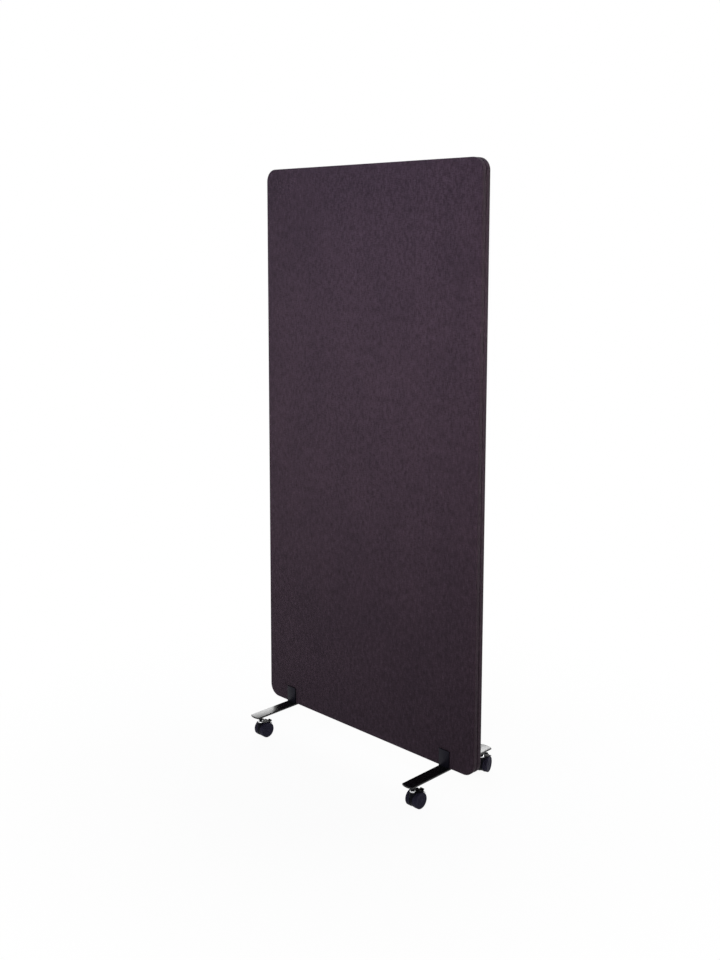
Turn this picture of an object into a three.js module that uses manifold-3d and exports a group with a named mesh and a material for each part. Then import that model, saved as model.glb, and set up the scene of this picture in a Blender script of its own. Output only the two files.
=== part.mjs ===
// Rolling partition: a fabric-covered screen panel on two steel feet with four braked twin-wheel casters.
// Units are millimetres, +Z is up, the panel's width lies along X and its front face looks towards -Y.
// The origin is on the floor, under the middle of the panel.
import * as THREE from 'three';
import { mergeVertices } from 'three/addons/utils/BufferGeometryUtils.js';
import Module from 'manifold-3d';

// ---- Driving dimensions -------------------------------------------------------------------------
// Panel
const PANEL_WIDTH = 900;
const PANEL_HEIGHT = 1800;
const PANEL_THICKNESS = 36;
const PANEL_BOTTOM = 79; // height of the panel's lower edge above the floor
const CORNER_RADIUS = 38;
const CORE_THICKNESS = 4; // sheet between the two upholstered halves
const CORE_INSET = 12; // the core stays back from the edge and leaves a shadow groove
const FABRIC = 1;
const WADDING = 3;
const WADDING_INSET = 3;
const FABRIC_TURN_IN = 9; // how far the fabric folds over onto the back of its board
const FRONT_EDGE_RADIUS = 3;
const BACK_EDGE_RADIUS = 1.5;

// Feet
const FOOT_X = 340; // from the middle of the panel to the middle of each foot
const BAR_WIDTH = 40;
const BAR_LENGTH = 380;
const BAR_THICKNESS = 5;
const BAR_END_RISE = 5; // how far the arc at each end stands out
const BAR_EDGE_BREAK = 0.6;
const BLIND_WALL = 1; // metal left above each tapped hole
const TAB_HEIGHT = 55;
const TAB_THICKNESS = 3.5;
const TAB_CORNER_RADIUS = 2.5;
const WELD_LEG = 2.5;
const WELD_LENGTH = 34;

// Screws that hold each foot to the rear board
const SCREW_RADIUS = 2.5;
const SCREW_LENGTH = 13;
const SCREW_HEAD_RADIUS = 4.75;
const SCREW_HEAD_HEIGHT = 2.8;
const SCREW_SOCKET_RADIUS = 1.75;
const SCREW_SOCKET_DEPTH = 1.6;
const SCREW_SPREAD = 11; // sideways from the middle of the tab
const SCREW_RISE = 34; // above the bar

// Casters
const STEM_Y = 161; // from the panel's mid-plane to each stem
const TRAIL = 15; // from the stem's axis back to the axle
const WHEEL_RADIUS = 25;
const WHEEL_SIDES = 24;
const WHEEL_INNER_X = 6;
const WHEEL_OUTER_X = 21.5;
const WHEEL_WALL = 3.5;
const DISC_RECESS = 1.4; // the outer disc lies this deep inside the rim
const RIM_LAND = 2.2; // width of the rim around the disc
const HUB_RADIUS = 7.5;
const AXLE_RADIUS = 4;
const WEB_HALF = 5.2; // half the thickness of the centre web
const WEB_RADIUS = 23.6; // nearly fills the gap between the treads
const WHEEL_GAP = 0.8; // between the tread and the hood
const HOOD_HALF = 21.5;
const HOOD_RADIUS = 27.5; // about the axle
const HOOD_LIP_ANGLE = THREE.MathUtils.degToRad(40); // rear lip, from straight above the axle
const HOOD_FRONT_ANGLE = THREE.MathUtils.degToRad(12); // where the arc meets the nose, to the front
const HOOD_LIP_DEPTH = 4;
const HOOD_LIP_ROUND = 0.9;
const HOOD_SHOULDER_Y = 13; // the hood reaches its full width here
const HOOD_SHOULDER_DROP = 5; // rounding of the shoulders seen from the front
const NOSE_RADIUS = 10.5;
const NOSE_BOTTOM = 34;
const NOSE_TOP = 50.5;
const NOSE_ANGLE = THREE.MathUtils.degToRad(20); // how far the round nose wraps back on each side
const NOSE_FLARE_X = 6; // sideways and back from the nose to the start of the shoulder
const NOSE_FLARE_Y = 4.5;
const JOURNAL_RADIUS = 3.7; // part of the stem that turns in the housing
const JOURNAL_BOTTOM = 37;
const SHANK_RADIUS = 5.5;
const THREAD_RADIUS = 3.9;
const COLLAR_RADIUS = 8.5; // bright ring that the housing turns under
const COLLAR_HEIGHT = 4.7;
const NUT_FLATS = 13;
const NUT_HEIGHT = 6.5;

// Brake pedal, in the caster's own side view
const PIVOT_Y = 32.9;
const PIVOT_Z = 46.2;
const PEDAL_HUB_RADIUS = 2.2;
const BRAKE_LOBE_RADIUS = 2.7;
const BRAKE_LOBE_ANGLE = THREE.MathUtils.degToRad(-96); // from straight back, towards the treads
const PLATE_HALF = 7; // half the width of the foot plate
const SLOT_HALF = 9.8; // half the width of the slot in the hood
const SLOT_BELOW_PIVOT = 6;
const SLOT_SIZE = 20; // length and height of the cut, open to the rear and above
const EAR_RADIUS = 2.5;
const EAR_OUTER_X = 13;
const PIN_RADIUS = 1.2;
const PIN_HALF_LENGTH = 12.5;

const CLEARANCE = 0.3; // between pieces that touch or turn on each other
const SNUG = 0.2; // between the layers of the panel

// Worked out from the values above
const AXLE_HEIGHT = WHEEL_RADIUS * Math.cos(Math.PI / WHEEL_SIDES); // a tread flat is on the floor
const BAR_TOP = PANEL_BOTTOM - CLEARANCE;
const BAR_BOTTOM = BAR_TOP - BAR_THICKNESS;
const HALF_THICKNESS = (PANEL_THICKNESS - CORE_THICKNESS) / 2;
const PANEL_MIDDLE = PANEL_BOTTOM + PANEL_HEIGHT / 2;
const PANEL_FACE = PANEL_THICKNESS / 2;
const SCREW_HEIGHT = BAR_TOP + SCREW_RISE;
const COLLAR_BOTTOM = NOSE_TOP + CLEARANCE;
const SHANK_BOTTOM = COLLAR_BOTTOM + COLLAR_HEIGHT + CLEARANCE;
const NUT_BOTTOM = BAR_BOTTOM - NUT_HEIGHT;
const SCREW_SEAT_Y = PANEL_FACE + CLEARANCE + TAB_THICKNESS;

// ---- Materials ----------------------------------------------------------------------------------
function material(color, roughness, metalness) {
  return new THREE.MeshStandardMaterial({ color, roughness, metalness });
}

const fabricMaterial = material(0x40333f, 0.95, 0);
const waddingMaterial = material(0xd8d4cc, 1, 0);
const boardMaterial = material(0xb08d62, 0.85, 0);
const coreMaterial = material(0x241f22, 0.9, 0);
const powderCoat = material(0x121214, 0.35, 0.1);
const zinc = material(0xc9ccd0, 0.3, 1);
const blackSteel = material(0x101012, 0.45, 0.6);
const hoodPlastic = material(0x17161b, 0.45, 0);
const wheelPlastic = material(0x26242e, 0.6, 0);

// ---- Shared helpers -----------------------------------------------------------------------------
const wasm = await Module();
wasm.setup();

// A three.js geometry as a solid that can be joined and cut.
function toSolid(geometry) {
  const bare = geometry.clone();
  bare.deleteAttribute('normal');
  bare.deleteAttribute('uv');
  const merged = mergeVertices(bare, 1e-4);
  return new wasm.Manifold(
    new wasm.Mesh({
      numProp: 3,
      vertProperties: merged.attributes.position.array,
      triVerts: new Uint32Array(merged.index.array),
    }),
  );
}

// A joined or cut solid back as a three.js geometry.
function toGeometry(solid) {
  const mesh = solid.getMesh();
  const geometry = new THREE.BufferGeometry();
  geometry.setAttribute('position', new THREE.BufferAttribute(mesh.vertProperties, mesh.numProp));
  geometry.setIndex(new THREE.BufferAttribute(mesh.triVerts, 1));
  geometry.computeVertexNormals();
  return geometry;
}

function join(...geometries) {
  return toGeometry(geometries.map(toSolid).reduce((sum, next) => sum.add(next)));
}

function cut(geometry, ...tools) {
  return toGeometry(tools.map(toSolid).reduce((rest, tool) => rest.subtract(tool), toSolid(geometry)));
}

function overlap(first, second) {
  return toGeometry(toSolid(first).intersect(toSolid(second)));
}

function mesh(name, geometry, look) {
  const made = new THREE.Mesh(geometry, look);
  made.name = name;
  return made;
}

function polyline(pairs) {
  return new THREE.Shape(pairs.map(([a, b]) => new THREE.Vector2(a, b)));
}

// A plan-view outline (x, y) made thick along Z, from bottom to top.
function extrudeUp(shape, bottom, top, curveSegments = 8) {
  const options = { depth: top - bottom, bevelEnabled: false, curveSegments };
  return new THREE.ExtrudeGeometry(shape, options).translate(0, 0, bottom);
}

// A side-view outline (y, z) made thick along X, the same distance each way from the middle.
function extrudeAcross(shape, halfWidth, curveSegments = 8) {
  const options = { depth: 2 * halfWidth, bevelEnabled: false, curveSegments };
  const turn = new THREE.Matrix4().makeBasis(
    new THREE.Vector3(0, 1, 0),
    new THREE.Vector3(0, 0, 1),
    new THREE.Vector3(1, 0, 0),
  );
  return new THREE.ExtrudeGeometry(shape, options).applyMatrix4(turn).translate(-halfWidth, 0, 0);
}

// A front-view outline (x, z) made thick along Y, from the near face to the far face.
function extrudeBack(shape, nearY, farY, curveSegments = 8) {
  const options = { depth: farY - nearY, bevelEnabled: false, curveSegments };
  return new THREE.ExtrudeGeometry(shape, options).rotateX(Math.PI / 2).translate(0, farY, 0);
}

// A profile of [radius, height] pairs turned about Z.
function turnAboutZ(profile, sides) {
  const points = profile.map(([radius, height]) => new THREE.Vector2(radius, height));
  return new THREE.LatheGeometry(points, sides).rotateX(Math.PI / 2);
}

// A profile of [radius, x] pairs turned about X, with a flat of each facet ring facing down.
function turnAboutX(profile, sides) {
  const points = profile.map(([radius, x]) => new THREE.Vector2(radius, x));
  return new THREE.LatheGeometry(points, sides, Math.PI / sides).rotateZ(-Math.PI / 2);
}

function rodAcross(radius, halfLength, y, z, sides) {
  const rod = new THREE.CylinderGeometry(radius, radius, 2 * halfLength, sides);
  return rod.rotateZ(Math.PI / 2).translate(0, y, z);
}

// ---- Panel --------------------------------------------------------------------------------------
// Outline of the panel, drawn in by inset, with the same number of points whatever the inset.
function panelOutline(inset, cornerSteps = 6) {
  const points = [];
  const radius = CORNER_RADIUS - inset;
  const centreX = PANEL_WIDTH / 2 - CORNER_RADIUS;
  const centreZ = PANEL_HEIGHT / 2 - CORNER_RADIUS;
  const corners = [[1, -1], [1, 1], [-1, 1], [-1, -1]];
  corners.forEach(([sideX, sideZ], corner) => {
    for (let step = 0; step <= cornerSteps; step++) {
      const angle = ((corner - 1 + step / cornerSteps) * Math.PI) / 2;
      const x = sideX * centreX + radius * Math.cos(angle);
      points.push(new THREE.Vector2(x, sideZ * centreZ + radius * Math.sin(angle)));
    }
  });
  return points;
}

// One closed surface through rings of the panel's outline, capped at the first and the last ring.
function loftRings(rings) {
  const outlines = rings.map(([inset]) => panelOutline(inset));
  const count = outlines[0].length;
  const positions = [];
  rings.forEach(([, depth], k) => {
    outlines[k].forEach((p) => positions.push(p.x, depth - PANEL_FACE, p.y + PANEL_MIDDLE));
  });
  const index = [];
  for (let k = 0; k + 1 < rings.length; k++) {
    for (let i = 0; i < count; i++) {
      const a = k * count + i;
      const b = k * count + ((i + 1) % count);
      index.push(a, b, b + count, a, b + count, a + count);
    }
  }
  const last = (rings.length - 1) * count;
  THREE.ShapeUtils.triangulateShape(outlines[0], []).forEach(([a, b, c]) => {
    index.push(a, c, b);
    index.push(last + a, last + b, last + c);
  });
  const geometry = new THREE.BufferGeometry();
  geometry.setAttribute('position', new THREE.Float32BufferAttribute(positions, 3));
  geometry.setIndex(index);
  geometry.computeVertexNormals();
  return geometry;
}

// The fabric is a tray: it covers the face, rounds the edges and folds over behind the board.
// Each ring is [inset from the panel's outline, depth behind the panel's face].
function fabricTray() {
  const boardBack = HALF_THICKNESS - FABRIC;
  const rings = [
    [WADDING_INSET, FABRIC],
    [WADDING_INSET, FABRIC + WADDING],
    [FABRIC, FABRIC + WADDING],
    [FABRIC, boardBack],
    [FABRIC_TURN_IN, boardBack],
    [FABRIC_TURN_IN, HALF_THICKNESS],
  ];
  roundedEdge(BACK_EDGE_RADIUS, 1).forEach(([inset, rise]) => rings.push([inset, HALF_THICKNESS - rise]));
  roundedEdge(FRONT_EDGE_RADIUS, 3).reverse().forEach(([inset, rise]) => rings.push([inset, rise]));
  return loftRings(rings);
}

// Quarter round as [inset, rise] pairs, from the flat face round to the side.
function roundedEdge(radius, steps) {
  const pairs = [];
  for (let step = 0; step <= steps; step++) {
    const angle = (step / steps) * (Math.PI / 2);
    pairs.push([radius * (1 - Math.sin(angle)), radius * (1 - Math.cos(angle))]);
  }
  return pairs;
}

function panelSheet(inset, nearDepth, farDepth) {
  const outline = new THREE.Shape(panelOutline(inset));
  const sheet = extrudeBack(outline, nearDepth - PANEL_FACE, farDepth - PANEL_FACE);
  return sheet.translate(0, 0, PANEL_MIDDLE);
}

const waddingSheet = () => panelSheet(WADDING_INSET + SNUG, FABRIC + SNUG, FABRIC + WADDING);
const boardSheet = () => {
  return panelSheet(FABRIC + SNUG, FABRIC + WADDING + SNUG, HALF_THICKNESS - FABRIC - SNUG);
};
const coreSheet = () => {
  return panelSheet(CORE_INSET, HALF_THICKNESS, PANEL_THICKNESS - HALF_THICKNESS);
};

// Places of the four foot screws as [x, z].
function screwPlaces() {
  const places = [];
  for (const side of [-1, 1]) {
    for (const spread of [-1, 1]) places.push([side * FOOT_X + spread * SCREW_SPREAD, SCREW_HEIGHT]);
  }
  return places;
}

function screwHoles(radius, nearY, farY) {
  return screwPlaces().map(([x, z]) => {
    const hole = new THREE.CylinderGeometry(radius, radius, farY - nearY, 10);
    return hole.translate(x, (nearY + farY) / 2, z);
  });
}

function makePanel() {
  const panel = new THREE.Group();
  const holeEnd = SCREW_SEAT_Y - SCREW_LENGTH - 1;
  const pilotHoles = () => screwHoles(SCREW_RADIUS + CLEARANCE, holeEnd, PANEL_FACE + 1);
  const turned = (geometry) => geometry.rotateZ(Math.PI);
  panel.add(
    mesh('front_fabric_cover', fabricTray(), fabricMaterial),
    mesh('front_wadding', waddingSheet(), waddingMaterial),
    mesh('front_board', boardSheet(), boardMaterial),
    mesh('core_sheet', coreSheet(), coreMaterial),
    mesh('rear_board', cut(turned(boardSheet()), ...pilotHoles()), boardMaterial),
    mesh('rear_wadding', cut(turned(waddingSheet()), ...pilotHoles()), waddingMaterial),
    mesh('rear_fabric_cover', cut(turned(fabricTray()), ...pilotHoles()), fabricMaterial),
  );
  return panel;
}

// ---- Feet ---------------------------------------------------------------------------------------
// Flat bar whose ends are shallow arcs, tapped from below for the two caster stems.
function footBar() {
  const halfWidth = BAR_WIDTH / 2 - BAR_EDGE_BREAK;
  const halfLength = BAR_LENGTH / 2 - BAR_EDGE_BREAK;
  const endRadius = (halfWidth ** 2 + BAR_END_RISE ** 2) / (2 * BAR_END_RISE);
  const centre = halfLength - endRadius;
  const spread = Math.asin(halfWidth / endRadius);
  const outline = new THREE.Shape();
  outline.absarc(0, -centre, endRadius, -Math.PI / 2 - spread, -Math.PI / 2 + spread, false);
  outline.absarc(0, centre, endRadius, Math.PI / 2 - spread, Math.PI / 2 + spread, false);
  outline.closePath();
  const bar = new THREE.ExtrudeGeometry(outline, {
    depth: BAR_THICKNESS - 2 * BAR_EDGE_BREAK,
    bevelThickness: BAR_EDGE_BREAK,
    bevelSize: BAR_EDGE_BREAK,
    bevelSegments: 1,
    curveSegments: 5,
  }).translate(0, 0, BAR_BOTTOM + BAR_EDGE_BREAK);
  const holeRadius = THREAD_RADIUS + CLEARANCE;
  const tappedHoles = [-STEM_Y, STEM_Y].map((y) => {
    const hole = new THREE.CylinderGeometry(holeRadius, holeRadius, 2 * (BAR_THICKNESS - BLIND_WALL), 12);
    return hole.rotateX(Math.PI / 2).translate(0, y, BAR_BOTTOM);
  });
  return cut(bar, ...tappedHoles);
}

// Upright plate with a weld along its foot, drawn for the front; the rear one is turned half round.
function clampTab() {
  const half = BAR_WIDTH / 2;
  const top = BAR_TOP + TAB_HEIGHT;
  const outer = -PANEL_FACE - CLEARANCE - TAB_THICKNESS;
  const plate = new THREE.Shape();
  plate.moveTo(-half, BAR_TOP);
  plate.lineTo(half, BAR_TOP);
  const corner = TAB_CORNER_RADIUS;
  plate.absarc(half - corner, top - corner, corner, 0, Math.PI / 2, false);
  plate.absarc(corner - half, top - corner, corner, Math.PI / 2, Math.PI, false);
  const weld = new THREE.Shape();
  weld.moveTo(outer + TAB_THICKNESS / 2, BAR_TOP);
  weld.lineTo(outer + TAB_THICKNESS / 2, BAR_TOP + WELD_LEG);
  weld.lineTo(outer, BAR_TOP + WELD_LEG);
  weld.absarc(outer - WELD_LEG, BAR_TOP + WELD_LEG, WELD_LEG, 0, -Math.PI / 2, true);
  return join(
    extrudeBack(plate, outer, outer + TAB_THICKNESS, 3),
    extrudeAcross(weld, WELD_LENGTH / 2, 3),
  );
}

// Low round-headed screw with a hexagon socket, its axis along Y and its head at the back.
function footScrew() {
  const profile = [
    [0, -SCREW_LENGTH],
    [SCREW_RADIUS * 0.6, -SCREW_LENGTH],
    [SCREW_RADIUS, 1 - SCREW_LENGTH],
    [SCREW_RADIUS, 0],
    [SCREW_HEAD_RADIUS, 0],
    [SCREW_HEAD_RADIUS * 0.96, SCREW_HEAD_HEIGHT * 0.45],
    [SCREW_HEAD_RADIUS * 0.75, SCREW_HEAD_HEIGHT * 0.85],
    [SCREW_HEAD_RADIUS * 0.45, SCREW_HEAD_HEIGHT],
    [0, SCREW_HEAD_HEIGHT],
  ];
  const points = profile.map(([radius, y]) => new THREE.Vector2(radius, SCREW_SEAT_Y + y));
  const socketRadius = SCREW_SOCKET_RADIUS;
  const socket = new THREE.CylinderGeometry(socketRadius, socketRadius, 2 * SCREW_SOCKET_DEPTH, 6);
  socket.translate(0, SCREW_SEAT_Y + SCREW_HEAD_HEIGHT, 0);
  return cut(new THREE.LatheGeometry(points, 10), socket);
}

function makeFoot(side, footX) {
  const foot = new THREE.Group();
  foot.position.x = footX;
  const holeRadius = SCREW_RADIUS + CLEARANCE;
  const clearHoles = [-SCREW_SPREAD, SCREW_SPREAD].map((x) => {
    const hole = new THREE.CylinderGeometry(holeRadius, holeRadius, 6 * TAB_THICKNESS, 10);
    return hole.translate(x, PANEL_FACE, SCREW_HEIGHT);
  });
  foot.add(
    mesh(`${side}_foot_bar`, footBar(), powderCoat),
    mesh(`${side}_front_tab`, clampTab(), powderCoat),
    mesh(`${side}_rear_tab`, cut(clampTab().rotateZ(Math.PI), ...clearHoles), powderCoat),
  );
  [-SCREW_SPREAD, SCREW_SPREAD].forEach((x, number) => {
    const screw = mesh(`${side}_foot_screw_${number + 1}`, footScrew(), blackSteel);
    screw.position.set(x, 0, SCREW_HEIGHT);
    foot.add(screw);
  });
  return foot;
}

// ---- Casters ------------------------------------------------------------------------------------
// Each caster is drawn in its own frame: the stem's axis is Z, the floor is z = 0 and the axle lies
// at y = TRAIL, so the wheels trail towards +Y.

// Stem: journal in the housing, black shank and the thread that is screwed up into the bar.
function casterStem() {
  const threadTop = BAR_TOP - BLIND_WALL - CLEARANCE;
  return turnAboutZ([
    [0, JOURNAL_BOTTOM],
    [JOURNAL_RADIUS - 0.8, JOURNAL_BOTTOM],
    [JOURNAL_RADIUS, JOURNAL_BOTTOM + 0.8],
    [JOURNAL_RADIUS, SHANK_BOTTOM],
    [SHANK_RADIUS, SHANK_BOTTOM],
    [SHANK_RADIUS, NUT_BOTTOM - CLEARANCE],
    [THREAD_RADIUS, NUT_BOTTOM - CLEARANCE],
    [THREAD_RADIUS, threadTop - 0.7],
    [THREAD_RADIUS - 0.7, threadTop],
    [0, threadTop],
  ], 12);
}

// Turned ring between the housing and the stem's shank.
function stemCollar() {
  const bore = JOURNAL_RADIUS + CLEARANCE;
  const top = COLLAR_BOTTOM + COLLAR_HEIGHT;
  return turnAboutZ([
    [bore, COLLAR_BOTTOM],
    [COLLAR_RADIUS - 0.5, COLLAR_BOTTOM],
    [COLLAR_RADIUS, COLLAR_BOTTOM + 0.7],
    [COLLAR_RADIUS, top - 1.6],
    [COLLAR_RADIUS - 1.6, top],
    [bore, top],
    [bore, COLLAR_BOTTOM],
  ], 14);
}

// Hexagon nut that locks the stem against the bar, its corners turned off above and below.
function lockNut() {
  const corner = NUT_FLATS / Math.sqrt(3);
  const bore = THREAD_RADIUS + CLEARANCE;
  const hexagon = new THREE.CylinderGeometry(corner, corner, 2 * NUT_HEIGHT, 6);
  const turned = turnAboutZ([
    [bore, NUT_BOTTOM],
    [NUT_FLATS / 2, NUT_BOTTOM],
    [corner, NUT_BOTTOM + 0.6],
    [corner, BAR_BOTTOM - 0.6],
    [NUT_FLATS / 2, BAR_BOTTOM],
    [bore, BAR_BOTTOM],
    [bore, NUT_BOTTOM],
  ], 14);
  return overlap(hexagon.rotateX(Math.PI / 2).translate(0, 0, NUT_BOTTOM), turned);
}

// Point at a radius and an angle about the axle, the angle counted from straight up to the rear.
function aboutAxle(radius, angle) {
  return [TRAIL + radius * Math.sin(angle), AXLE_HEIGHT + radius * Math.cos(angle)];
}

// The hood in side view (y, z): the nose about the stem and the arc over the wheels to the rear lip.
function hoodSideOutline() {
  const lipTurn = HOOD_LIP_ROUND / HOOD_RADIUS;
  const outline = new THREE.Shape();
  outline.moveTo(1 - NOSE_RADIUS, NOSE_BOTTOM);
  outline.lineTo(0, NOSE_BOTTOM);
  outline.lineTo(TRAIL, AXLE_HEIGHT);
  outline.lineTo(...aboutAxle(HOOD_RADIUS - HOOD_LIP_DEPTH, HOOD_LIP_ANGLE));
  outline.lineTo(...aboutAxle(HOOD_RADIUS - HOOD_LIP_ROUND, HOOD_LIP_ANGLE));
  outline.quadraticCurveTo(
    ...aboutAxle(HOOD_RADIUS, HOOD_LIP_ANGLE),
    ...aboutAxle(HOOD_RADIUS, HOOD_LIP_ANGLE - lipTurn),
  );
  const arcStart = Math.PI / 2 - HOOD_LIP_ANGLE + lipTurn;
  const arcEnd = Math.PI / 2 + HOOD_FRONT_ANGLE;
  outline.absarc(TRAIL, AXLE_HEIGHT, HOOD_RADIUS, arcStart, arcEnd, false);
  outline.lineTo(COLLAR_RADIUS + CLEARANCE, NOSE_TOP);
  outline.lineTo(1 - NOSE_RADIUS, NOSE_TOP);
  outline.quadraticCurveTo(-NOSE_RADIUS, NOSE_TOP, -NOSE_RADIUS, NOSE_TOP - 1);
  outline.lineTo(-NOSE_RADIUS, NOSE_BOTTOM + 1);
  outline.closePath();
  return outline;
}

// The hood from above (x, y): a round nose about the stem that widens to the full width.
function hoodPlanOutline() {
  const farY = 2 * HOOD_RADIUS;
  const noseX = NOSE_RADIUS * Math.cos(NOSE_ANGLE);
  const flareY = NOSE_RADIUS * Math.sin(NOSE_ANGLE) + NOSE_FLARE_Y;
  const sideY = HOOD_SHOULDER_Y + 4;
  const outline = new THREE.Shape();
  outline.moveTo(HOOD_HALF, farY);
  outline.lineTo(-HOOD_HALF, farY);
  outline.lineTo(-HOOD_HALF, sideY);
  outline.quadraticCurveTo(-HOOD_HALF, HOOD_SHOULDER_Y, -noseX - NOSE_FLARE_X, flareY);
  outline.absarc(0, 0, NOSE_RADIUS, Math.PI - NOSE_ANGLE, 2 * Math.PI + NOSE_ANGLE, false);
  outline.lineTo(noseX + NOSE_FLARE_X, flareY);
  outline.quadraticCurveTo(HOOD_HALF, HOOD_SHOULDER_Y, HOOD_HALF, sideY);
  return outline;
}

// The hood from the front (x, z): full width over the treads, with rounded shoulders.
function hoodFrontOutline() {
  const low = NOSE_BOTTOM - HOOD_LIP_DEPTH;
  const top = AXLE_HEIGHT + HOOD_RADIUS + 1;
  const sideTop = top - HOOD_SHOULDER_DROP;
  const flatHalf = HOOD_HALF + 1 - HOOD_SHOULDER_DROP;
  const outline = new THREE.Shape();
  outline.moveTo(-HOOD_HALF, low);
  outline.lineTo(HOOD_HALF, low);
  outline.lineTo(HOOD_HALF, sideTop);
  outline.quadraticCurveTo(HOOD_HALF, top - 1, flatHalf, top);
  outline.lineTo(-flatHalf, top);
  outline.quadraticCurveTo(-HOOD_HALF, top - 1, -HOOD_HALF, sideTop);
  return outline;
}

// Moulded housing: hood over both treads, centre web with the axle bore, stem socket, and the slot
// with its two ears that the brake pedal works in.
function casterHousing() {
  const side = extrudeAcross(hoodSideOutline(), HOOD_HALF, 5);
  const plan = extrudeUp(hoodPlanOutline(), AXLE_HEIGHT - HOOD_LIP_DEPTH, 2 * NOSE_BOTTOM, 4);
  const front = extrudeBack(hoodFrontOutline(), -2 * NOSE_RADIUS, 2 * HOOD_RADIUS, 3);
  const ears = rodAcross(EAR_RADIUS, EAR_OUTER_X, PIVOT_Y, PIVOT_Z, 12);
  const blank = join(overlap(overlap(side, plan), front), ears);
  const web = rodAcross(WEB_RADIUS, WEB_HALF, TRAIL, AXLE_HEIGHT, 20);
  const slot = new THREE.BoxGeometry(2 * SLOT_HALF, SLOT_SIZE, SLOT_SIZE);
  const slotFront = PIVOT_Y - EAR_RADIUS - 2 * CLEARANCE;
  slot.translate(0, slotFront + SLOT_SIZE / 2, PIVOT_Z - SLOT_BELOW_PIVOT + SLOT_SIZE / 2);
  const axleBore = rodAcross(AXLE_RADIUS + CLEARANCE, 2 * WEB_HALF, TRAIL, AXLE_HEIGHT, 12);
  const pinBore = rodAcross(PIN_RADIUS + CLEARANCE, EAR_OUTER_X + 1, PIVOT_Y, PIVOT_Z, 8);
  const shell = join(cut(blank, ...wheelRooms()), web);
  return cut(shell, stemSocket(), slot, axleBore, pinBore);
}

// Room for the two wheels beside the web.
function wheelRooms() {
  const half = (HOOD_HALF + 2 - WEB_HALF) / 2;
  return [-1, 1].map((side) => {
    const room = rodAcross(WHEEL_RADIUS + WHEEL_GAP, half, TRAIL, AXLE_HEIGHT, 24);
    return room.translate(side * (WEB_HALF + half), 0, 0);
  });
}

function stemSocket() {
  const radius = JOURNAL_RADIUS + CLEARANCE;
  const floor = JOURNAL_BOTTOM - CLEARANCE;
  return turnAboutZ([[0, floor], [radius, floor], [radius, NOSE_TOP + 1], [0, NOSE_TOP + 1]], 12);
}

// Twin wheel: tread on a hollow cup, with its hub towards the web and a recessed disc outside.
function casterWheel(side) {
  const inner = WHEEL_INNER_X;
  const outer = WHEEL_OUTER_X;
  const discFace = outer - DISC_RECESS;
  const cupFloor = outer - 5;
  const bore = AXLE_RADIUS + SNUG;
  const wheel = turnAboutX([
    [0, outer - 4],
    [bore, outer - 4],
    [bore, inner - 0.4],
    [HUB_RADIUS, inner - 0.4],
    [HUB_RADIUS, cupFloor],
    [WHEEL_RADIUS - WHEEL_WALL, cupFloor],
    [WHEEL_RADIUS - WHEEL_WALL, inner],
    [WHEEL_RADIUS, inner],
    [WHEEL_RADIUS, outer - RIM_LAND],
    [WHEEL_RADIUS - 0.7, outer - 0.7],
    [WHEEL_RADIUS - RIM_LAND, outer],
    [WHEEL_RADIUS - RIM_LAND - 1, discFace],
    [HUB_RADIUS, discFace],
    [0, discFace + 0.5],
  ], WHEEL_SIDES);
  if (side < 0) wheel.rotateZ(Math.PI);
  return wheel.translate(0, TRAIL, AXLE_HEIGHT);
}

function casterAxle() {
  const half = WHEEL_OUTER_X - 4.5;
  const axle = turnAboutX([
    [0, -half],
    [AXLE_RADIUS - 0.8, -half],
    [AXLE_RADIUS, 0.8 - half],
    [AXLE_RADIUS, half - 0.8],
    [AXLE_RADIUS - 0.8, half],
    [0, half],
  ], 12);
  return axle.translate(0, TRAIL, AXLE_HEIGHT);
}

// Brake pedal: hub with the lobe that presses on both treads, arm and upturned foot plate.
function brakePedal() {
  const hub = new THREE.Shape();
  const start = BRAKE_LOBE_ANGLE + 0.7;
  hub.absarc(PIVOT_Y, PIVOT_Z, PEDAL_HUB_RADIUS, start, start - 1.4 + 2 * Math.PI, false);
  for (const turn of [-0.3, 0.3]) {
    hub.lineTo(
      PIVOT_Y + BRAKE_LOBE_RADIUS * Math.cos(BRAKE_LOBE_ANGLE + turn),
      PIVOT_Z + BRAKE_LOBE_RADIUS * Math.sin(BRAKE_LOBE_ANGLE + turn),
    );
  }
  const arm = polyline([
    [PIVOT_Y, PIVOT_Z - 2],
    [PIVOT_Y + 5.2, PIVOT_Z - 3.1],
    [PIVOT_Y + 7, PIVOT_Z - 2],
    [PIVOT_Y + 6.2, PIVOT_Z - 0.6],
    [PIVOT_Y + 0.8, PIVOT_Z + 2],
  ]);
  const plate = polyline([
    [PIVOT_Y + 4.6, PIVOT_Z - 2.5],
    [PIVOT_Y + 6.4, PIVOT_Z - 3.2],
    [PIVOT_Y + 10.9, PIVOT_Z - 0.8],
    [PIVOT_Y + 10.8, PIVOT_Z + 1.5],
    [PIVOT_Y + 8.7, PIVOT_Z + 1.6],
  ]);
  const body = join(
    extrudeAcross(hub, SLOT_HALF - 0.5, 5),
    extrudeAcross(arm, WEB_HALF),
    extrudeAcross(plate, PLATE_HALF),
  );
  return cut(body, rodAcross(PIN_RADIUS + SNUG, SLOT_HALF, PIVOT_Y, PIVOT_Z, 8));
}

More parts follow.
